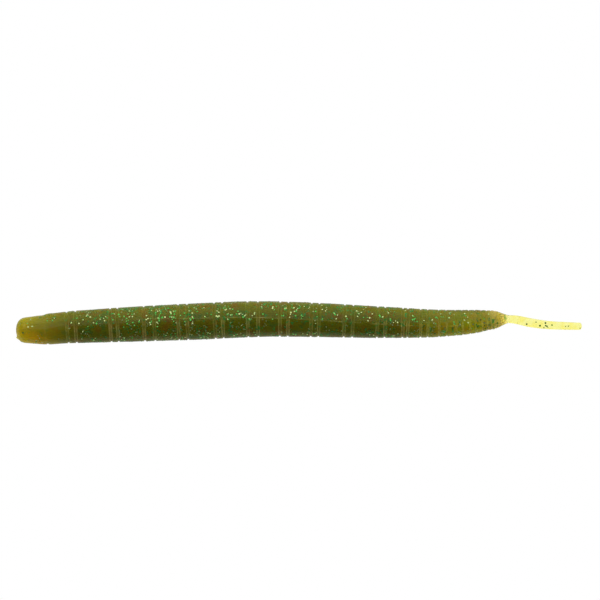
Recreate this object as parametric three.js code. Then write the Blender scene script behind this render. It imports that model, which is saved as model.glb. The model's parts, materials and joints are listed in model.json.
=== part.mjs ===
import * as THREE from 'three';

// A soft plastic worm lying on its belly: the nose is at -X, the tail tip at +X, and up is +Z.
// The lure is one soft moulding. Its moulded grooves divide it into links, and each link turns
// on the one before it as a ball in a socket, with the ball's middle halfway along its wide band.
// The origin is on the floor under the middle of the worm. Units are millimetres.

// Stations count from 0 at the nose tip to LENGTH at the tail tip.
const LENGTH = 127;
const NOSE_FLAT = 0.9;          // radius of the small flat at the nose tip
const NOSE_ROUND = 3.0;         // length of the rounded nose
const NOSE_BLUNTNESS = 4;       // exponent of the nose curve
const NOSE_STEPS = [0.16, 0.32, 0.55, 1];  // corners of the nose curve, as shares of its length
const TAIL_ROOT = 110.7;        // where the cone ends and the ribbon tail starts

// Middle radius of the body at some stations
const BODY_RADII = [
  [3.5, 3.22], [11, 3.55], [24, 3.87], [36, 4.04], [45, 4.09], [58, 3.97], [74, 3.72],
  [85, 3.43], [96, 3.0], [104, 2.52], [108, 1.93], [TAIL_ROOT, 1.0],
];

// Sideways offset of the middle line at some stations: the soft worm lies in a slight curve
const SIDE_OFFSETS = [
  [0, -1.65], [11, -1.08], [25, -0.4], [41, 0.28], [54, 0.8], [66, 0.65], [80, 0.15],
  [93, -0.16], [101, 0.1], [TAIL_ROOT, 0.81], [115, 0.05], [120, -0.61], [LENGTH, -0.79],
];

// Length of each wide band and of the narrow ring behind it; the first pair is the nose
const BANDS = [
  [11.6, 1.9], [7.8, 1.6], [5.9, 2.3], [5.4, 2.0], [6.1, 1.8], [5.6, 2.3], [4.9, 1.8],
  [5.2, 1.7], [5.7, 1.9], [5.5, 1.7], [4.0, 1.1], [2.9, 1.6], [2.5, 1.7], [2.1, 1.5],
  [1.6, 1.3], [1.5, 1.2], [0.9, 0.8],
];

const GROOVE_DEPTH = 0.3;
const GROOVE_HALF_WIDTH = 0.2;
const SEAM = 0.3;               // clearance between a ball and its socket
const SIDES = 20;               // sides of a round section, one of them flat on the floor
const ARC_STEPS = 3;            // straight steps in a ball's or a socket's profile

// Ribbon tail
const RIBBON_THICKNESS = 0.9;
const RIBBON_JOINTS = [112.1, 115.2, 119.2, 123.2];
const RIBBON_ROOT_HALF_WIDTH = 1.05;
const RIBBON_TIP_HALF_WIDTH = 0.8;
const RIBBON_GAP = 0.36;        // clearance between two pieces of the ribbon
const RIBBON_ARC_STEPS = 6;     // straight steps in each round end of a ribbon piece

const APOTHEM = Math.cos(Math.PI / SIDES);

const olive = () => new THREE.MeshStandardMaterial({ color: 0x5c5a1c, roughness: 0.25, metalness: 0 });
const amber = () => new THREE.MeshStandardMaterial({ color: 0x948729, roughness: 0.25, metalness: 0 });
const chartreuse = () => new THREE.MeshStandardMaterial({ color: 0xf6f08e, roughness: 0.2, metalness: 0 });

// A smooth value through [station, value] pairs
function along(pairs, station) {
  const last = pairs.length - 1;
  let i = pairs.findIndex(([s]) => s > station) - 1;
  if (i === -2) i = last - 1;
  i = Math.max(0, i);
  const [s1, v1] = pairs[i];
  const [s2, v2] = pairs[i + 1];
  const [s0, v0] = pairs[Math.max(0, i - 1)];
  const [s3, v3] = pairs[Math.min(last, i + 2)];
  const slope1 = (v2 - v0) / (s2 - s0);
  const slope2 = (v3 - v1) / (s3 - s1);
  const width = s2 - s1;
  const t = THREE.MathUtils.clamp((station - s1) / width, 0, 1);
  const t2 = t * t;
  const t3 = t2 * t;
  return (2 * t3 - 3 * t2 + 1) * v1 + (t3 - 2 * t2 + t) * width * slope1
    + (3 * t2 - 2 * t3) * v2 + (t3 - t2) * width * slope2;
}

const radiusAt = (station) => along(BODY_RADII, station);
const sideAt = (station) => along(SIDE_OFFSETS, station);

// Stations of every band: start of its wide part, start of its ring, and its end
function bandStations() {
  let start = 0;
  return BANDS.map(([wide, ring]) => {
    const band = { start, ring: start + wide, end: start + wide + ring };
    start = band.end;
    return band;
  });
}

// A link's pivot station: halfway along its wide band, or the nose tip for the first
function pivotStation(bands, index) {
  return index === 0 ? 0 : (bands[index].start + bands[index].ring) / 2;
}

// Where a link lies: its pivot, its direction in plan, its length, its taper, and the downward
// pitch that lays the lowest side of the tapering link flat on the floor
function linkPlace(from, to) {
  const fullFrom = Math.max(from, NOSE_ROUND);
  const yaw = Math.atan2(sideAt(to) - sideAt(from), to - from);
  const shrink = radiusAt(fullFrom) - radiusAt(to);
  const pitch = Math.asin((shrink * APOTHEM * Math.cos(yaw)) / (to - fullFrom));
  const lengthPerStation = 1 / (Math.cos(yaw) * Math.cos(pitch));
  const taper = shrink / ((to - fullFrom) * lengthPerStation);
  const pivotRadius = radiusAt(fullFrom) + taper * (fullFrom - from) * lengthPerStation;
  return {
    x: from - LENGTH / 2,
    y: sideAt(from),
    z: pivotRadius * APOTHEM * Math.cos(pitch),
    yaw,
    pitch,
    taper,
    length: (to - from) * lengthPerStation,
    pivotRadius,
  };
}

// Profile points of an arc about (0, middle) from the axis to the rim, or back
function arcPoints(middle, radius, rimRadius) {
  const rimAngle = Math.asin(rimRadius / radius);
  const points = [];
  for (let i = 0; i <= ARC_STEPS; i += 1) {
    const angle = (rimAngle * i) / ARC_STEPS;
    points.push(new THREE.Vector2(radius * Math.sin(angle), middle - radius * Math.cos(angle)));
  }
  points[0].x = 0;
  return points;
}

// The rounded nose, from the small flat to the full radius
function nosePoints(fullRadius) {
  const points = [new THREE.Vector2(0, 0), new THREE.Vector2(NOSE_FLAT, 0)];
  for (const t of NOSE_STEPS) {
    const radius = fullRadius * (1 - (1 - t) ** NOSE_BLUNTNESS);
    points.push(new THREE.Vector2(radius, t * NOSE_ROUND));
  }
  return points;
}

function groovePoints(at, radius) {
  const front = at - GROOVE_HALF_WIDTH;
  const back = at + GROOVE_HALF_WIDTH;
  return [
    new THREE.Vector2(radius(front), front),
    new THREE.Vector2(radius(at) - GROOVE_DEPTH, at),
    new THREE.Vector2(radius(back), back),
  ];
}

// Radius of the ball at the front of a link: it meets the wide band's front rim
function ballRadius(bands, index) {
  const halfBand = (bands[index].ring - bands[index].start) / 2;
  return Math.hypot(radiusAt(bands[index].start), halfBand);
}

function linkMesh(name, profile, place, material) {
  const geometry = new THREE.LatheGeometry(profile, SIDES, Math.PI / SIDES);
  geometry.rotateZ(-Math.PI / 2);
  const mesh = new THREE.Mesh(geometry, material);
  mesh.name = name;
  mesh.position.set(place.x, place.y, place.z);
  mesh.rotation.set(0, place.pitch, place.yaw, 'ZYX');
  return mesh;
}

// A link: ball or nose in front, wide band, groove, narrow ring, and a socket or the cone behind
function link(bands, index) {
  const isLast = index === bands.length - 1;
  const from = pivotStation(bands, index);
  const to = isLast ? TAIL_ROOT : pivotStation(bands, index + 1);
  const place = linkPlace(from, to);
  const radius = (t) => place.pivotRadius - place.taper * t;
  const profile = [];
  if (index === 0) {
    profile.push(...nosePoints(radius(NOSE_ROUND)));
  } else {
    const rim = bands[index].start - from;
    const rimRadius = radius(rim);
    profile.push(...arcPoints(0, Math.hypot(rimRadius, rim), rimRadius));
  }
  profile.push(...groovePoints(bands[index].ring - from, radius));
  if (isLast) {
    profile.push(new THREE.Vector2(radius(place.length), place.length));
    profile.push(new THREE.Vector2(0, place.length));
  } else {
    const socket = ballRadius(bands, index + 1) + SEAM;
    const rimRadius = radius(bands[index].end - from - SEAM);
    profile.push(...arcPoints(place.length, socket, rimRadius).reverse());
  }
  const name = index === 0 ? 'nose' : `segment_${String(index).padStart(2, '0')}`;
  const material = index === 0 || isLast ? amber() : olive();
  return linkMesh(name, profile, place, material);
}

const ribbonHalfWidth = (station) => THREE.MathUtils.mapLinear(
  station, TAIL_ROOT, LENGTH, RIBBON_ROOT_HALF_WIDTH, RIBBON_TIP_HALF_WIDTH,
);

// Height of the ribbon's middle: it leaves the cone on its axis and comes down to the floor
function ribbonHeight(station) {
  const low = RIBBON_THICKNESS / 2;
  const high = radiusAt(TAIL_ROOT) * APOTHEM;
  const t = (station - TAIL_ROOT) / (RIBBON_JOINTS[1] - TAIL_ROOT);
  return THREE.MathUtils.lerp(high, low, THREE.MathUtils.clamp(t, 0, 1));
}

// Outline of a ribbon piece in plan, with its pivot at the origin and its length along +X.
// A piece that sways has a round front about its pivot, and one that lifts has a square front.
function ribbonOutline(index, length) {
  const from = RIBBON_JOINTS[index];
  const front = ribbonHalfWidth(from);
  const isLast = index === RIBBON_JOINTS.length - 1;
  const back = isLast ? RIBBON_TIP_HALF_WIDTH : ribbonHalfWidth(RIBBON_JOINTS[index + 1]);
  const sways = index % 2 === 0;
  const outline = new THREE.Shape();
  if (sways) {
    outline.absarc(0, 0, front, Math.PI / 2, (3 * Math.PI) / 2, false);
  } else {
    outline.moveTo(RIBBON_GAP / 2, front);
    outline.lineTo(RIBBON_GAP / 2, -front);
  }
  if (isLast) {
    outline.absarc(length - back, 0, back, -Math.PI / 2, Math.PI / 2, false);
  } else if (sways) {
    outline.lineTo(length - RIBBON_GAP / 2, -back);
    outline.lineTo(length - RIBBON_GAP / 2, back);
  } else {
    const socket = back + RIBBON_GAP;
    const half = Math.asin(back / socket);
    outline.absarc(length, 0, socket, Math.PI + half, Math.PI - half, true);
  }
  outline.closePath();
  return outline;
}

function ribbonPiece(index) {
  const from = RIBBON_JOINTS[index];
  const to = RIBBON_JOINTS[index + 1] ?? LENGTH;
  const dx = to - from;
  const dy = sideAt(to) - sideAt(from);
  const drop = ribbonHeight(from) - ribbonHeight(to);
  const length = Math.hypot(dx, dy, drop);
  const geometry = new THREE.ExtrudeGeometry(ribbonOutline(index, length), {
    depth: RIBBON_THICKNESS, bevelEnabled: false, curveSegments: RIBBON_ARC_STEPS,
  });
  geometry.translate(0, 0, -RIBBON_THICKNESS / 2);
  const mesh = new THREE.Mesh(geometry, chartreuse());
  mesh.name = `tail_${index + 1}`;
  mesh.position.set(from - LENGTH / 2, sideAt(from), ribbonHeight(from));
  mesh.rotation.set(0, Math.asin(drop / length), Math.atan2(dy, dx), 'ZYX');
  return mesh;
}

function worm() {
  const bands = bandStations();
  const body = new THREE.Group();
  body.add(...bands.keys().map((index) => link(bands, index)));
  const tail = new THREE.Group();
  tail.add(...RIBBON_JOINTS.keys().map(ribbonPiece));
  const whole = new THREE.Group();
  whole.add(body, tail);
  return whole;
}

export default worm();
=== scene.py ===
"""A soft plastic worm: one soft ringed moulding with green flakes in it and a thin clear tail.

The moulding is made as a chain of pieces that meet at the bottoms of its moulded grooves, one for
each CAD node. Lengths are in millimetres and stations count from 0 at the nose tip, unless a name
or comment says otherwise; positions become metres when a mesh is made.
"""
import json
import math
import random

import bpy
import numpy as np
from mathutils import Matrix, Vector, noise

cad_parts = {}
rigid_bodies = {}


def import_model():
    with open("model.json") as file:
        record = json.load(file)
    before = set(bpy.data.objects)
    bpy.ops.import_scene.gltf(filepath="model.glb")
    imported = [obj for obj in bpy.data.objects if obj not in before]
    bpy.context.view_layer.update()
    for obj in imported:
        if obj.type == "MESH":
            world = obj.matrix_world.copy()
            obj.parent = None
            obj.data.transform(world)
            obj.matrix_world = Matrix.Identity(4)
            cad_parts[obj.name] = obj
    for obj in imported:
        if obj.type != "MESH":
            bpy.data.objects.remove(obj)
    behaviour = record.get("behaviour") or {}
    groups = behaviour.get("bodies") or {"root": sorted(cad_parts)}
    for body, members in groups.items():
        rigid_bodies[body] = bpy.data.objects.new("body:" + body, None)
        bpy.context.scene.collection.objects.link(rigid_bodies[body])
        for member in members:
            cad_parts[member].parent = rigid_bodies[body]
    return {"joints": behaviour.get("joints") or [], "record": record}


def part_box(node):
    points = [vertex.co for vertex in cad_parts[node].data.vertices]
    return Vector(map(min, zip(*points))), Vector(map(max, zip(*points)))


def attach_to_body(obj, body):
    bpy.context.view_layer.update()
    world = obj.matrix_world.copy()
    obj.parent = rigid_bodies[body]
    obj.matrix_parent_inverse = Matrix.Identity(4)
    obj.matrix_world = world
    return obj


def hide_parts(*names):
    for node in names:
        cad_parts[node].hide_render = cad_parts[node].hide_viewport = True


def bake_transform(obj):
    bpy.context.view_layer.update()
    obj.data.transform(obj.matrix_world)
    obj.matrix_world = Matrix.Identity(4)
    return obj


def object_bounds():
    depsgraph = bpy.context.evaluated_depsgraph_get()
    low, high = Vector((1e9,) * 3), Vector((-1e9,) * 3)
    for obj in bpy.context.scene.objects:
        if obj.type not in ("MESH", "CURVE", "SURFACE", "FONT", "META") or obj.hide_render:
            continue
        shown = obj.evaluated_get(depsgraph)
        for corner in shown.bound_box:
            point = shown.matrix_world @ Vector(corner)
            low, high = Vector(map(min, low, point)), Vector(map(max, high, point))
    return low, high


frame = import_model()
CAD_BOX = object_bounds()

MM = 0.001
SEED = 11

# --------------------------------------------------------------------------- sizes
LENGTH = 127.0
BANDS = [
    (11.6, 1.9), (7.8, 1.6), (5.9, 2.3), (5.4, 2.0), (6.1, 1.8), (5.6, 2.3), (4.9, 1.8),
    (5.2, 1.7), (5.7, 1.9), (5.5, 1.7), (4.0, 1.1), (2.9, 1.6), (2.5, 1.7), (2.1, 1.5),
    (1.6, 1.3), (1.5, 1.2), (0.9, 0.8),
]                                # wide band and the narrow ring behind it, from the nose
APOTHEM = math.cos(math.pi / 20)  # height of the 20-sided CAD links' middle over their radius

NOSE_ROUND = 3.0                 # length of the rounded nose
NOSE_BLUNTNESS = 3.4             # 2 rounds it as an ellipse, and more makes it blunter
NOSE_SHOULDER = (6.0, 3.38)      # station and radius
NOSE_SLIM = 0.095                # share by which the nose is thinner than the CAD nose
NOSE_SLIM_FADE = (2.0, 7.5)      # stations between which that share fades away
NOSE_BEND = [(0.0, -0.12), (6.3, 0.11), (11.7, 0.60)]  # middle line, sideways from the CAD tip
NOSE_RING = 6.7                  # a faint line around the nose, left by the mould
NOSE_RING_HALF_WIDTH = 0.13
NOSE_RING_DEPTH = 0.02
NOSE_RING_PALENESS = 0.35        # painted light on the nose ring; the edges of a groove have 1

TAIL_ROOT = 110.6
TAIL_ROOT_RADIUS = 0.88
CONE = [(107.0, 2.13), (108.0, 1.86), (109.0, 1.44), (110.0, 1.02), (TAIL_ROOT, TAIL_ROOT_RADIUS)]
TAIL_HALF_WIDTHS = [(TAIL_ROOT, TAIL_ROOT_RADIUS), (112.0, 0.94), (113.6, 1.0), (117.0, 0.99),
                    (120.0, 0.92), (124.0, 0.86), (LENGTH, 0.8)]
TAIL_HALF_THICKNESS = 0.45
TAIL_SQUARENESS = 0.8            # of the ribbon's section; 0 is an ellipse
TAIL_FLAT_FROM = 114.0           # the round root has become a flat ribbon here
TAIL_TIP_BEND = -0.1             # the tip's middle, sideways from the CAD tip
TIP_ROUND = 0.45                 # length of the rounded tail tip
TIP_THINNEST = 0.35              # share of the ribbon's thickness that the tip thins down to
TAIL_SEAMS = [113.7, 117.2, 121.2]

GROOVE_DEPTH = 0.21
GROOVE_HALF_WIDTH = 0.28
GROOVE_FLOOR = 0.06              # half width of a groove's flat bottom
GROOVE_SHRINK = 0.45             # share by which the rear grooves are narrower and shallower
GROOVE_SHRINK_ENDS = (84, 100)   # stations between which they get so
LIP_AWAY = 0.29                  # a groove's rounded edge, from its middle, where a highlight is painted
LIP_HALF_WIDTH = 0.09
FLOOR_PALENESS = 0.5             # painted light in a groove's floor, against its shade; the edges have 1
FLOOR_FADE = (0.2, 0.34)         # from the groove's middle

PARTING_STATION = 41             # the mould's parting line is at this angle at this station
PARTING_ANGLE = 10               # degrees from the top towards +Y
TWIST = 0.42                     # degrees that it turns back for each millimetre
RIDGE_HEIGHT = 0.03              # the parting line's crest
RIDGE_HALF_WIDTH = 0.11
RIDGE_STARTS = (16, 36)          # stations between which it comes into view
CREASE = 0.010                   # the section swells by this share towards the parting line
CREASE_REACH = 0.30              # in radians

# station, degrees from the top, half length and growth
NICKS = [(6.0, 88, 0.7, -0.11), (7.6, 84, 0.7, 0.08), (6.9, -92, 0.16, -0.22)]
NICK_HALF_TURN = 0.5             # in radians
GATE_STUB = (-1.7, -0.1, 0.3, 0.4)  # sideways, up, radius and length, on the face of the nose
LUMPS = (0.035, 0.35)            # height of the slow unevenness, and how quickly it changes
DIMPLES = (0.012, 1.3)           # the same of the quick unevenness

COLUMNS = 112                    # around the body
COLUMN_GATHERING = 0.36          # how much closer they lie near the parting line
BAND_STEP = 0.3                  # along the body
CLOSEST_ROWS = 0.012
WALL_DISH = 0.12                 # how far a piece's end wall is pushed into it
SMALLEST_DISH = 0.05             # a smaller wall stays flat

# flakes per square millimetre of skin, at some stations
FLAKE_DENSITY = [(5.0, 0.3), (10.0, 0.4), (17.0, 0.9), (82.0, 0.9), (92.0, 1.4), (102.0, 1.2),
                 (108.0, 0.42)]
DRAWS_PER_FLAKE = 2              # about half of the draws fall where flakes are few
TAIL_FLAKES = [2, 2, 7, 4]       # flakes in each tail piece
FLAKE_SIDES = 6
FLAKE_THICKNESS = 0.03
FLAKE_TILT = 0.14                # in radians
GREEN_RADII = (0.12, 0.24)
PALE_RADII = (0.13, 0.21)
PALE_SHARE = 0.5
GREEN_TONES = (0.0, 0.15)
PALE_TONES = (0.7, 1.0)
SEAM_GAP = 0.35                  # flakes stay this far from the end of a piece
GROOVE_GAP = 0.3                 # and from the middle of a groove
GATHERING = 0.35                 # smaller values gather the flakes more
BELLY_HEIGHT = 0.15              # the body has no flakes below this
TAIL_FLAKE_DEPTHS = (0.25, 0.9)  # shares of the way from the skin to the middle

CHAIN = ["nose"] + [f"segment_{i:02d}" for i in range(1, len(BANDS))] + [
    f"tail_{i}" for i in range(1, 5)]


# --------------------------------------------------------------------------- the frame's places
def pivots():
    """Where each piece of the chain turns on the one before it, in millimetres."""
    place = {frozenset((j["parent"], j["child"])): Vector(j["pos_m"]) / MM for j in frame["joints"]}
    return [place[frozenset(pair)] for pair in zip(CHAIN, CHAIN[1:])]


def smooth(points, x):
    """A smooth curve through (x, y) points, at each x."""
    px, py = (np.array(v, float) for v in zip(*points))
    slopes = np.gradient(py, px)
    x = np.clip(np.asarray(x, float), px[0], px[-1])
    i = np.clip(np.searchsorted(px, x, side="right") - 1, 0, len(px) - 2)
    width = px[i + 1] - px[i]
    t = (x - px[i]) / width
    return ((2 * t**3 - 3 * t**2 + 1) * py[i] + (t**3 - 2 * t**2 + t) * width * slopes[i]
            + (3 * t**2 - 2 * t**3) * py[i + 1] + (t**3 - t**2) * width * slopes[i + 1])


def smoothstep(low, high, x):
    """0 below low, 1 above high and a smooth rise between them."""
    t = np.clip((np.asarray(x, float) - low) / (high - low), 0, 1)
    return t * t * (3 - 2 * t)


def station_of(point):
    """How far a point lies behind the nose tip."""
    return point.x + LENGTH / 2


PIVOTS = pivots()
NOSE_TIP = Vector(next(m for m in frame["record"]["mounts"] if m["name"] == "nose")["pos_m"]) / MM
TAIL_TIP = sum(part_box("tail_4"), Vector()) / 2 / MM
SIDEWAYS = ([(s, NOSE_TIP.y + y) for s, y in NOSE_BEND] + [(station_of(p), p.y) for p in PIVOTS]
            + [(LENGTH, TAIL_TIP.y + TAIL_TIP_BEND)])
BODY_RADII = ([(0.0, NOSE_TIP.z / APOTHEM), NOSE_SHOULDER]
              + [(station_of(p), p.z / APOTHEM) for p in PIVOTS[:len(BANDS) - 1]] + CONE)


# --------------------------------------------------------------------------- shape of the moulding
def band_stations():
    """Each band's start, the start of its ring, and its end."""
    ends = np.cumsum([wide + ring for wide, ring in BANDS])
    return [(end - wide - ring, end - ring, end) for end, (wide, ring) in zip(ends, BANDS)]


STATIONS = band_stations()
GROOVES = np.array(sorted({round(s, 3) for band in STATIONS for s in band[1:]}))


def groove_scale(groove):
    """Grooves get narrower and shallower where the rings are small."""
    return 1.0 - GROOVE_SHRINK * smoothstep(*GROOVE_SHRINK_ENDS, groove)


def nose_ring(s):
    """1 at the faint line around the nose, fading away from it."""
    return np.exp(-(((s - NOSE_RING) / NOSE_RING_HALF_WIDTH) ** 2))


def groove_depth(s):
    """How deep the grooves and the nose ring are at each station."""
    depth = NOSE_RING_DEPTH * nose_ring(s)
    for groove in GROOVES:
        k = groove_scale(groove)
        away = np.abs(s - groove)
        depth += GROOVE_DEPTH * k * (1 - smoothstep(GROOVE_FLOOR * k, GROOVE_HALF_WIDTH * k, away))
    return depth


def lip_weight(s):
    """How pale each station is, as painted light: painted highlights most on the edges of a groove,
    painted light in its floor, not at all on the bands.
    """
    weight = NOSE_RING_PALENESS * nose_ring(s)
    for groove in GROOVES:
        k = groove_scale(groove)
        away = np.abs(s - groove)
        edge = np.exp(-(((away - LIP_AWAY * k) / (LIP_HALF_WIDTH * k)) ** 2))
        floor = FLOOR_PALENESS * (1 - smoothstep(FLOOR_FADE[0] * k, FLOOR_FADE[1] * k, away))
        weight = np.maximum(weight, np.maximum(edge, floor))
    return weight


def middle(s):
    """The middle line, as x and y."""
    return s - LENGTH / 2, smooth(SIDEWAYS, s)


def half_sizes(s):
    """Half width, half height, height of the middle and squareness of the section at each station."""
    body = smooth(BODY_RADII, s)
    start = np.clip(s / NOSE_ROUND, 0, 1)
    slim = NOSE_SLIM * (1 - smoothstep(*NOSE_SLIM_FADE, s))
    nose = np.sqrt(1 - (1 - start) ** NOSE_BLUNTNESS) * (1 - slim)
    tail = smooth(TAIL_HALF_WIDTHS, s)
    into_tip = np.clip((s - LENGTH) / TIP_ROUND + 1, 0, 1)
    tip = np.sqrt(1 - into_tip ** 2)
    flat = smoothstep(TAIL_ROOT, TAIL_FLAT_FROM, s)
    in_tail = s > TAIL_ROOT
    width = np.where(in_tail, tail * tip, body * nose)
    thick = body * (1 - flat) + TAIL_HALF_THICKNESS * flat
    height = np.where(in_tail, thick * (TIP_THINNEST + (1 - TIP_THINNEST) * tip), body * nose)
    height = np.where(in_tail & (tip == 0), 0, height)
    return width, height, thick * APOTHEM, 2 + TAIL_SQUARENESS * flat


def parting_angle(s):
    """Where the mould's parting line runs, from the top towards +Y: the worm lies slightly twisted."""
    return np.radians(PARTING_ANGLE - TWIST * (s - PARTING_STATION))


def column_angles():
    """Angles from the parting line, closer together near it and opposite it."""
    u = np.linspace(-math.pi, math.pi, COLUMNS, endpoint=False)
    return u - COLUMN_GATHERING * np.sin(2 * u)


def ridge_weight(s, u, width):
    """1 along the crest of the parting line, fading away from it and where the mould closed well."""
    near = np.minimum(np.abs(u), math.pi - np.abs(u))
    gap = np.array([noise.noise(Vector((0.3 * v, 0, 0))) for v in s.ravel()]).reshape(s.shape)
    shows = smoothstep(*RIDGE_STARTS, s) * np.clip(0.5 + 1.6 * gap, 0, 1)
    return shows * np.exp(-((near * width / RIDGE_HALF_WIDTH) ** 2))


def nicks(s, u_from_top):
    """Small dents and a scrap of flash left near the nose, in millimetres of growth."""
    grow = np.zeros_like(s)
    for station, side, length, height in NICKS:
        turn = np.angle(np.exp(1j * (u_from_top - math.radians(side))))
        grow += height * np.exp(-(((s - station) / length) ** 2) - (turn / NICK_HALF_TURN) ** 2)
    return grow


def unevenness(points):
    """Gentle lumps of a soft moulding, in millimetres."""
    slow = np.array([noise.noise(Vector(p) * LUMPS[1]) for p in points])
    quick = np.array([noise.noise(Vector(p) * DIMPLES[1] + Vector((7, 3, 1))) for p in points])
    return LUMPS[0] * slow + DIMPLES[0] * quick


def surface(s, u):
    """Points of the moulding at stations s and angles u from the parting line (same shapes)."""
    width, height, level, power = half_sizes(s)
    on_body = 1 - smoothstep(TAIL_ROOT - 0.6, TAIL_ROOT, s)
    angle = parting_angle(s) * on_body + u
    c, n = np.cos(angle), np.sin(angle)
    across = np.sign(n) * np.abs(n) ** (2 / power) * width
    up = np.sign(c) * np.abs(c) ** (2 / power) * height
    x, y = middle(s)
    ahead = middle(s + 0.1)
    behind = middle(s - 0.1)
    yaw = np.arctan2(ahead[1] - behind[1], ahead[0] - behind[0])
    near = np.minimum(np.abs(u), math.pi - np.abs(u))
    started = smoothstep(0.3, 3.0, s) * on_body
    ridge = RIDGE_HEIGHT * ridge_weight(s, u, width)
    grow = started * (ridge + CREASE * width * np.exp(-near / CREASE_REACH))
    grow = grow - groove_depth(s) + nicks(s, angle)
    stub = np.hypot(across - GATE_STUB[0], up - GATE_STUB[1]) / GATE_STUB[2]
    x = x - GATE_STUB[3] * np.exp(-(stub ** 2)) * (1 - smoothstep(0.5, 2.0, s))
    rough = np.stack([x, across, up], -1)
    lumps = unevenness(rough.reshape(-1, 3)).reshape(s.shape)
    grow = grow + lumps * started
    reach = np.maximum(np.hypot(across, up), 1e-6)
    across = across * (1 + grow / reach)
    up = up * (1 + grow / reach)
    z = np.maximum(up + level, 0)
    return np.stack([x - np.sin(yaw) * across, y + np.cos(yaw) * across, z], -1)


# --------------------------------------------------------------------------- meshes
def new_object(name, points, faces, smooth_faces=True):
    """A mesh object from points in millimetres."""
    mesh = bpy.data.meshes.new(name)
    mesh.from_pydata([tuple(p * MM) for p in np.asarray(points)], [], faces)
    mesh.validate()
    mesh.polygons.foreach_set("use_smooth", [smooth_faces] * len(mesh.polygons))
    obj = bpy.data.objects.new(name, mesh)
    bpy.context.scene.collection.objects.link(obj)
    return obj


def add_attribute(obj, name, kind, values):
    """Gives every vertex a value that the materials can read."""
    attribute = obj.data.attributes.new(name, kind, "POINT")
    key = "vector" if kind == "FLOAT_VECTOR" else "value"
    attribute.data.foreach_set(key, np.asarray(values, np.float32).ravel())


def rows_between(start, end):
    """Stations of the mesh's rows: fine across the grooves and coarser on the bands."""
    steps = np.array([0, 0.04, 0.08, 0.12, 0.16, 0.2, 0.24, 0.28, 0.33, 0.4, 0.5])
    rows = {start, end}
    for groove in GROOVES:
        for step in np.concatenate([-steps, steps]) * groove_scale(groove):
            if start < groove + step < end:
                rows.add(groove + step)
    rows = sorted(rows)
    rows = [rows[0]] + [b for a, b in zip(rows, rows[1:]) if b - a > CLOSEST_ROWS]
    filled = []
    for a, b in zip(rows, rows[1:]):
        filled += list(np.linspace(a, b, max(1, math.ceil((b - a) / BAND_STEP)), endpoint=False))
    return np.array(filled + [end])


def loft(name, rows):
    """A stretch of the moulding between its first and last row, closed where it ends in the body."""
    u = column_angles()
    s_grid, u_grid = np.meshgrid(rows, u, indexing="ij")
    points = surface(s_grid, u_grid)
    count = len(u)
    faces = []
    for i in range(len(rows) - 1):
        for j in range(count):
            a, b = i * count + j, i * count + (j + 1) % count
            faces.append((a, a + count, b + count, b))
    flat = points.reshape(-1, 3)
    ridge = ridge_weight(s_grid, u_grid, half_sizes(s_grid)[0]).ravel()
    side = np.sin(parting_angle(s_grid) + u_grid).ravel()
    stations = s_grid.ravel()
    last = (len(rows) - 1) * count
    for first, station, inward in ((0, rows[0], WALL_DISH), (last, rows[-1], -WALL_DISH)):
        if TAIL_ROOT + 0.1 < station < LENGTH - 0.1:
            continue                 # the clear tail has no walls inside it
        rim = flat[first:first + count]
        centre = rim.mean(0)
        if np.linalg.norm(rim - centre, axis=1).max() > SMALLEST_DISH:
            centre = centre + np.array([inward, 0, 0])
        for j in range(count):
            a, b = first + j, first + (j + 1) % count
            faces.append((a, b, len(flat)) if first == 0 else (b, a, len(flat)))
        flat = np.vstack([flat, centre])
        stations = np.append(stations, station)
        ridge = np.append(ridge, 0)
        side = np.append(side, 0)
    obj = new_object(name, flat, faces)
    add_attribute(obj, "rest_place", "FLOAT_VECTOR", flat)
    add_attribute(obj, "station", "FLOAT", stations)
    add_attribute(obj, "lip", "FLOAT", lip_weight(stations))
    add_attribute(obj, "ridge", "FLOAT", ridge)
    add_attribute(obj, "side", "FLOAT", side)
    return obj, count, last


def mark_rims_sharp(obj, count, last):
    """Keeps the end caps out of the smooth shading of the skin."""
    rims = {frozenset((f + j, f + (j + 1) % count)) for f in (0, last) for j in range(count)}
    for edge in obj.data.edges:
        if frozenset(edge.vertices) in rims:
            edge.use_edge_sharp = True


def piece_span(index):
    """First and last station of the piece that stands for a node of the chain."""
    if index < len(STATIONS):
        start = STATIONS[index][0]
        end = TAIL_ROOT if index == len(STATIONS) - 1 else STATIONS[index][2]
        return start, end
    seams = [TAIL_ROOT] + TAIL_SEAMS + [LENGTH]
    k = index - len(STATIONS)
    return seams[k], seams[k + 1]


def attach(obj, index):
    """The nose rides on its body; every other piece only has its placement baked into its mesh."""
    if index == 0:
        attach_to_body(obj, CHAIN[0])
        return
    start, end = piece_span(index)
    if index == len(CHAIN) - 1:
        end = 2 * station_of(PIVOTS[index - 1]) - start
    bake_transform(obj)


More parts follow.
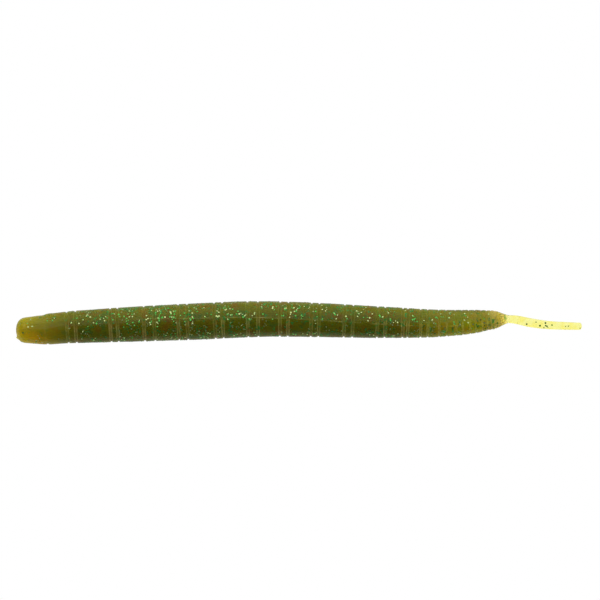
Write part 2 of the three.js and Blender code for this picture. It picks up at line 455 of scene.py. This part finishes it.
# --------------------------------------------------------------------------- materials
class Nodes:
    """Short calls for building one material's node tree."""

    def __init__(self, name):
        self.material = bpy.data.materials.new(name)
        self.material.use_nodes = True
        self.tree = self.material.node_tree
        self.shader = self.tree.nodes["Principled BSDF"]

    def add(self, kind, **settings):
        node = self.tree.nodes.new(kind)
        for key, value in settings.items():
            setattr(node, key, value)
        return node

    def link(self, out, into):
        self.tree.links.new(out, into)

    def attribute(self, name, output="Fac"):
        return self.add("ShaderNodeAttribute", attribute_name=name).outputs[output]

    def shifted(self, vector, offset):
        node = self.add("ShaderNodeVectorMath", operation="ADD")
        self.link(vector, node.inputs[0])
        node.inputs[1].default_value = offset
        return node.outputs[0]

    def noise(self, vector, scale, detail=2.0, roughness=0.5):
        node = self.add("ShaderNodeTexNoise")
        self.link(vector, node.inputs["Vector"])
        node.inputs["Scale"].default_value = scale
        node.inputs["Detail"].default_value = detail
        node.inputs["Roughness"].default_value = roughness
        return node.outputs["Fac"]

    def remap(self, value, low, high, to_low=0.0, to_high=1.0):
        node = self.add("ShaderNodeMapRange", interpolation_type="SMOOTHSTEP")
        self.link(value, node.inputs["Value"])
        for key, number in zip(("From Min", "From Max", "To Min", "To Max"),
                               (low, high, to_low, to_high)):
            node.inputs[key].default_value = number
        return node.outputs["Result"]

    def mix(self, factor, a, b, blend_type="MIX"):
        node = self.add("ShaderNodeMix", data_type="RGBA", blend_type=blend_type)
        self._put(factor, node.inputs[0])
        self._put(a, node.inputs[6])
        self._put(b, node.inputs[7])
        return node.outputs[2]

    def math(self, operation, a, b):
        node = self.add("ShaderNodeMath", operation=operation)
        self._put(a, node.inputs[0])
        self._put(b, node.inputs[1])
        return node.outputs[0]

    def _put(self, value, socket):
        if isinstance(value, bpy.types.NodeSocket):
            self.link(value, socket)
        elif isinstance(value, tuple):
            socket.default_value = (*value, 1.0)
        else:
            socket.default_value = value

    def bump(self, height, strength, distance):
        node = self.add("ShaderNodeBump")
        node.inputs["Strength"].default_value = strength
        node.inputs["Distance"].default_value = distance
        self.link(height, node.inputs["Height"])
        self.link(node.outputs["Normal"], self.shader.inputs["Normal"])
        self.link(node.outputs["Normal"], self.shader.inputs["Coat Normal"])

    def set(self, **values):
        for key, value in values.items():
            socket = self.shader.inputs[key.replace("_", " ")]
            self._put(value, socket)


OLIVES = (0.215, 0.25, 0.001), (0.30, 0.29, 0.002)
BROWN_PATCH = (0.32, 0.18, 0.003)
GREEN_PATCH = (0.085, 0.25, 0.03)
NOSE_YELLOW = (0.54, 0.48, 0.012)
# amber towards -Y is painted light on the nose's shaded side, mixed with random amber tone
NOSE_AMBER_PAINTED_LIGHT = (1.0, 0.73, 0.010)
# painted light: the cone is deeper on the lamp's side (+Y) and brighter on its shaded side, standing
# in for light through the thin plastic
LIT_CONE = (0.39, 0.43, 0.012), (0.53, 0.41, 0.010)
SHADED_CONE = (0.84, 0.88, 0.016), (1.0, 0.72, 0.012)
# painted shade on the cone's edge towards the lamp (+Y)
CONE_RIM_PAINTED_SHADE = (0.20, 0.17, 0.02)
CONE_END = (1.0, 0.78, 0.14)
CLEAR_ROOT = (1.0, 0.97, 0.36)
PAINTED_LINE_LIGHT = (0.42, 0.40, 0.16)  # painted light, added to the colour below them
GREEN_BLOT = (0.05, 0.46, 0.08)
CLEAR_TAIL = (1.0, 0.985, 0.38), (1.0, 0.925, 0.22)
DARK_FILM = (0.012, 0.10, 0.008)
GREEN_FILM = (0.09, 0.60, 0.09)
PALE_FILM = (0.87, 1.0, 0.42)


def olive_colour(n, rest):
    """Olive with brown and green patches."""
    olive = n.mix(n.noise(rest, 0.22, 3), *OLIVES)
    brown = n.remap(n.noise(rest, 0.42, 2), 0.48, 0.72, 0, 0.8)
    olive = n.mix(brown, olive, BROWN_PATCH)
    green = n.remap(n.noise(n.shifted(rest, (31, 17, 5)), 0.5, 2), 0.54, 0.68, 0, 0.55)
    return n.mix(green, olive, GREEN_PATCH)


def nose_colour(n, rest):
    """Yellow, and more amber towards -Y: painted light on the shaded side, standing in for light
    through the nose, with random amber tone.
    """
    place = n.add("ShaderNodeSeparateXYZ")
    n.link(rest, place.inputs[0])
    # painted light: amber towards -Y stands in for light through the nose on its shaded side; the
    # noise adds random amber tone
    amber = n.math("ADD", n.remap(place.outputs["Y"], 0.5, -4.2),
                   n.math("SUBTRACT", n.noise(rest, 0.35, 2), 0.5))
    return n.mix(amber, NOSE_YELLOW, NOSE_AMBER_PAINTED_LIGHT)


def cone_colour(n, rest):
    """Yellow with amber patches, deeper on the side towards +Y, where the lamp is, and brighter on the
    shaded side: painted light, standing in for light through the cone.
    """
    shade = n.remap(n.attribute("side"), 0.6, -0.5)
    patch = n.remap(n.noise(rest, 0.5, 2), 0.4, 0.62)
    return n.mix(shade, n.mix(patch, *LIT_CONE), n.mix(patch, *SHADED_CONE))


def painted_line_light(n, rest, lip):
    """Painted light on the grooves and the parting line: painted highlights on the groove edges and
    the parting line's crest, and pale grooves mostly towards -Y, on the shaded side.
    """
    groove = n.math("MULTIPLY", lip, n.remap(n.attribute("side"), 0.22, -0.1, 0.25, 1))
    patchiness = n.remap(n.noise(rest, 0.6, 2), 0.35, 0.6, 0.4, 1)
    return n.math("MULTIPLY", n.math("MAXIMUM", groove, n.attribute("ridge")), patchiness)


def green_blots(n, rest, station):
    """Where flakes just under the skin show as small green blots: few on the nose."""
    blot = n.remap(n.noise(n.shifted(rest, (5, 71, 13)), 1.3, 2), 0.57, 0.66, 0, 0.85)
    crowd = n.remap(n.noise(n.shifted(rest, (3, 9, 47)), 0.35, 1), 0.42, 0.58)
    return n.math("MULTIPLY", n.math("MULTIPLY", blot, crowd), n.remap(station, 8, 16, 0.2, 1))


def plastisol():
    """Body plastic: olive, amber at both ends, paler in the grooves and clear at the tail root; the
    pale grooves, the brighter shaded sides of nose and cone and the cone's darker rim are painted
    light and shade.
    """
    n = Nodes("plastisol")
    rest = n.attribute("rest_place", "Vector")
    station = n.attribute("station")
    lip = n.attribute("lip")
    colour = n.mix(n.remap(station, 0, 15, 1, 0), olive_colour(n, rest), nose_colour(n, rest))
    colour = n.mix(n.remap(station, 82, 106, 0, 0.95), colour, cone_colour(n, rest))
    # painted shade: the cone's edge on the lamp's side (+Y) is darkened
    rim = n.math("MULTIPLY", n.remap(n.attribute("side"), 0.6, 1.0), n.remap(station, 88, 102, 0, 0.6))
    colour = n.mix(rim, colour, CONE_RIM_PAINTED_SHADE)
    colour = n.mix(n.remap(station, 104.5, 108.5, 0, 1), colour, CONE_END)
    colour = n.mix(n.remap(station, 109.4, 110.4, 0, 1), colour, CLEAR_ROOT)
    # painted light: pale groove lines and the parting line's crest, patchy in strength
    colour = n.mix(painted_line_light(n, rest, lip), colour, n.mix(1.0, colour, PAINTED_LINE_LIGHT, "ADD"))
    colour = n.mix(green_blots(n, rest, station), colour, GREEN_BLOT)
    n.link(colour, n.shader.inputs["Base Color"])
    n.bump(n.noise(rest, 2.2, 4, 0.6), 0.25, 0.00006)
    n.set(Roughness=0.22, IOR=1.4, Specular_IOR_Level=0.36)
    n.set(Transmission_Weight=n.remap(station, 106.6, 110.4, 0, 0.95))
    n.set(Subsurface_Weight=n.remap(lip, 0, 0.5, 0.9, 0.15))
    depth = n.math("MAXIMUM", n.remap(station, 1, 13, 5, 1), n.remap(station, 86, 108, 1, 3))
    n.set(Subsurface_Scale=n.math("MULTIPLY", depth, MM))
    n.shader.inputs["Subsurface Radius"].default_value = (1.3, 1.2, 0.2)
    return n.material


def tail_plastic():
    """Thin chartreuse plastic that light passes through."""
    n = Nodes("tail_plastic")
    rest = n.attribute("rest_place", "Vector")
    mottle = n.remap(n.noise(rest, 0.8, 3), 0.35, 0.65)
    n.link(n.mix(mottle, *CLEAR_TAIL), n.shader.inputs["Base Color"])
    n.set(Roughness=0.03, Transmission_Weight=0.95, IOR=1.35)
    return n.material


def flake_film():
    """Metallised film: its tone is -1 for dark green, 0 for green and 1 for pale gold green."""
    n = Nodes("green_film")
    tone = n.attribute("tone")
    green = n.mix(n.remap(tone, -1, 0), DARK_FILM, GREEN_FILM)
    n.link(n.mix(tone, green, PALE_FILM), n.shader.inputs["Base Color"])
    n.set(Metallic=0.9, Roughness=0.22)
    return n.material


# --------------------------------------------------------------------------- the moulding
def make_moulding():
    """One skin for each CAD node."""
    body = plastisol()
    tail = tail_plastic()
    for index, node in enumerate(CHAIN):
        start, end = piece_span(index)
        if index == 0:
            rows = rows_between(NOSE_ROUND, end)
            cap = NOSE_ROUND * (1 - np.cos(np.linspace(0.02, math.pi / 2, 18)))
            rows = np.concatenate([cap[:-1], rows])
        elif index == len(CHAIN) - 1:
            rows = rows_between(start, LENGTH - TIP_ROUND)
            cap = LENGTH - TIP_ROUND * (1 - np.sin(np.linspace(0, math.pi / 2 - 0.04, 12)))
            rows = np.concatenate([rows, cap[1:]])
        else:
            rows = rows_between(start, end)
        in_tail = index >= len(STATIONS)
        obj, count, last = loft(f"{node}_skin", rows)
        mark_rims_sharp(obj, count, last)
        obj.data.materials.append(tail if in_tail else body)
        attach(obj, index)
        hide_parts(node)


# --------------------------------------------------------------------------- flakes
def gathered(s, u):
    """Above 0 where the flakes lie close together, below 0 where there are few."""
    return noise.noise(Vector((0.5 * s, 2.0 * math.cos(u), 2.0 * math.sin(u))))


def flake(points, faces, centre, normal, along, size, tilt, spin):
    """Adds one thin flake to the points and faces."""
    side = normal.cross(along).normalized()
    forward = side.cross(normal)
    tilted = (normal + side * tilt[0] + forward * tilt[1]).normalized()
    a = tilted.orthogonal().normalized()
    b = tilted.cross(a)
    first = len(points)
    for level in (-0.5, 0.5):
        for k in range(FLAKE_SIDES):
            angle = spin + 2 * math.pi * k / FLAKE_SIDES
            points.append(centre + (a * math.cos(angle) + b * math.sin(angle)) * size
                          + tilted * level * FLAKE_THICKNESS)
    upper = first + FLAKE_SIDES
    faces.append(tuple(first + k for k in reversed(range(FLAKE_SIDES))))
    faces.append(tuple(upper + k for k in range(FLAKE_SIDES)))
    for k in range(FLAKE_SIDES):
        m = (k + 1) % FLAKE_SIDES
        faces.append((first + k, first + m, upper + m, upper + k))


def places_to_draw(index):
    """How many places are drawn for a piece's flakes."""
    if index >= len(STATIONS):
        return TAIL_FLAKES[index - len(STATIONS)]
    start, end = piece_span(index)
    centre = (start + end) / 2
    area = 2 * math.pi * float(half_sizes(np.array([centre]))[0][0]) * (end - start)
    return round(DRAWS_PER_FLAKE * area * float(smooth(FLAKE_DENSITY, centre)))


def make_flakes():
    """One group of flakes for each skin: on the body's skin, and inside the clear tail."""
    rng = random.Random(SEED)
    film = flake_film()
    for index, node in enumerate(CHAIN):
        start, end = piece_span(index)
        in_tail = index >= len(STATIONS)
        points, faces, tones = [], [], []
        for _ in range(places_to_draw(index)):
            s = rng.uniform(start + SEAM_GAP, end - SEAM_GAP)
            if np.abs(GROOVES - s).min() < GROOVE_GAP and not in_tail:
                continue
            u = rng.uniform(-math.pi, math.pi)
            if not in_tail and gathered(s, u) < rng.uniform(-GATHERING, GATHERING):
                continue
            around = np.array([[s, s, s + 0.2], [u, u + 0.03, u]])
            p, q, r = (Vector(v) for v in surface(around[0], around[1]))
            along = (r - p).normalized()
            normal = along.cross(q - p).normalized()
            if p.z < BELLY_HEIGHT and not in_tail:
                continue
            core = Vector((p.x, float(middle(np.array(s))[1]), float(half_sizes(np.array([s]))[2][0])))
            if normal.dot(p - core) < 0:
                normal = -normal
            pale = rng.random() < PALE_SHARE and not in_tail
            size = rng.uniform(*(PALE_RADII if pale else GREEN_RADII))
            centre = p.lerp(core, rng.uniform(*TAIL_FLAKE_DEPTHS)) if in_tail else p
            tilt = (rng.gauss(0, FLAKE_TILT), rng.gauss(0, FLAKE_TILT))
            flake(points, faces, centre, normal, along, size, tilt, rng.uniform(0, math.pi))
            tone = rng.uniform(*(PALE_TONES if pale else GREEN_TONES))
            tones += [tone - 1 if in_tail else tone] * (2 * FLAKE_SIDES)
        if not faces:
            continue
        obj = new_object(f"{node}_flakes", [np.array(p) for p in points], faces, False)
        add_attribute(obj, "tone", "FLOAT", tones)
        obj.data.materials.append(film)
        attach(obj, index)


# --------------------------------------------------------------------------- studio, in metres
TABLE_SIZE = 4.0
TABLE_HEIGHT = -0.055            # well below the worm, which does not touch it
TABLE_GLOW = 0.8                 # light the table sheds on the worm; it looks white all the same
TABLE_SHINE = 0.4                # how bright the table is in the worm's gloss
STUDIO_GLOW = 0.03               # light of the dark studio around the worm
STUDIO_SHINE = 0.12              # how bright the studio is in the worm's gloss
SOFT_BOX_ANGLE = 48              # degrees from straight up towards +Y
SOFT_BOX_DISTANCE = 0.6
SOFT_BOX_SIZE = (1.3, 1.12)
SOFT_BOX_POWER = 3.3
LENS = 300                       # a long lens, in millimetres
SENSOR = 36
PICTURE_WIDTH = 1.058            # of the view, over the worm's length
VIEW_OFFSET = (0.0002, 0.0050)   # from the worm's middle to the picture's


def seen_directly(tree, path):
    """1 for what the camera sees, also through the clear tail, and 0 for all other light."""
    direct = tree.nodes.new("ShaderNodeMath")
    direct.operation = "MAXIMUM"
    tree.links.new(path.outputs["Is Camera Ray"], direct.inputs[0])
    tree.links.new(path.outputs["Is Transmission Ray"], direct.inputs[1])
    return direct.outputs[0]


def glow_or_shine(tree, path, glow, shine):
    """Shine for what the worm's gloss mirrors, and glow for the light that it gets."""
    strength = tree.nodes.new("ShaderNodeMapRange")
    strength.inputs["To Min"].default_value = glow
    strength.inputs["To Max"].default_value = shine
    tree.links.new(path.outputs["Is Glossy Ray"], strength.inputs["Value"])
    return strength.outputs["Result"]


def make_floor():
    """A white light table, clear from beneath, so that the belly can be seen."""
    bpy.ops.mesh.primitive_plane_add(size=TABLE_SIZE, location=(0, 0, TABLE_HEIGHT))
    floor = bpy.context.object
    floor.name = "light_table"
    material = bpy.data.materials.new("light_table")
    material.use_nodes = True
    tree = material.node_tree
    tree.nodes.clear()
    out = tree.nodes.new("ShaderNodeOutputMaterial")
    glow = tree.nodes.new("ShaderNodeEmission")
    path = tree.nodes.new("ShaderNodeLightPath")
    strength = tree.nodes.new("ShaderNodeMapRange")
    face = tree.nodes.new("ShaderNodeNewGeometry")
    clear = tree.nodes.new("ShaderNodeBsdfTransparent")
    mix = tree.nodes.new("ShaderNodeMixShader")
    shed = glow_or_shine(tree, path, TABLE_GLOW, TABLE_SHINE)
    tree.links.new(shed, strength.inputs["To Min"])
    tree.links.new(seen_directly(tree, path), strength.inputs["Value"])
    tree.links.new(strength.outputs["Result"], glow.inputs["Strength"])
    tree.links.new(face.outputs["Backfacing"], mix.inputs[0])
    tree.links.new(glow.outputs[0], mix.inputs[1])
    tree.links.new(clear.outputs[0], mix.inputs[2])
    tree.links.new(mix.outputs[0], out.inputs[0])
    floor.data.materials.append(material)


def make_soft_box():
    """One soft box, above the worm and towards +Y."""
    data = bpy.data.lights.new("soft_box", "AREA")
    data.shape = "RECTANGLE"
    data.size, data.size_y = SOFT_BOX_SIZE
    data.energy = SOFT_BOX_POWER
    lamp = bpy.data.objects.new("soft_box", data)
    bpy.context.scene.collection.objects.link(lamp)
    angle = math.radians(SOFT_BOX_ANGLE)
    lamp.location = (0, math.sin(angle) * SOFT_BOX_DISTANCE, math.cos(angle) * SOFT_BOX_DISTANCE)
    lamp.rotation_euler = (-angle, 0, 0)
    lamp.visible_camera = False


def make_world():
    """White to the camera, also through the clear tail, and a dark studio to everything else."""
    world = bpy.data.worlds.new("studio")
    bpy.context.scene.world = world
    world.use_nodes = True
    tree = world.node_tree
    tree.nodes.clear()
    out = tree.nodes.new("ShaderNodeOutputWorld")
    mix = tree.nodes.new("ShaderNodeMixShader")
    path = tree.nodes.new("ShaderNodeLightPath")
    seen = tree.nodes.new("ShaderNodeBackground")
    dark = tree.nodes.new("ShaderNodeBackground")
    for background in (seen, dark):
        background.inputs["Color"].default_value = (1, 1, 1, 1)
    tree.links.new(glow_or_shine(tree, path, STUDIO_GLOW, STUDIO_SHINE), dark.inputs["Strength"])
    tree.links.new(seen_directly(tree, path), mix.inputs[0])
    tree.links.new(dark.outputs[0], mix.inputs[1])
    tree.links.new(seen.outputs[0], mix.inputs[2])
    tree.links.new(mix.outputs[0], out.inputs[0])


def make_camera():
    """Straight above the worm, which lies along the picture and a little below its middle."""
    data = bpy.data.cameras.new("camera")
    data.lens = LENS
    data.sensor_width = SENSOR
    camera = bpy.data.objects.new("camera", data)
    bpy.context.scene.collection.objects.link(camera)
    lo, hi = CAD_BOX
    centre = (lo + hi) / 2
    distance = (hi.x - lo.x) * PICTURE_WIDTH * data.lens / data.sensor_width
    camera.location = (centre.x + VIEW_OFFSET[0], centre.y + VIEW_OFFSET[1], centre.z + distance)
    camera.rotation_euler = (0, 0, 0)
    bpy.context.scene.camera = camera


make_moulding()
make_flakes()
make_floor()
make_soft_box()
make_world()
make_camera()
bpy.context.scene.view_settings.view_transform = "Standard"
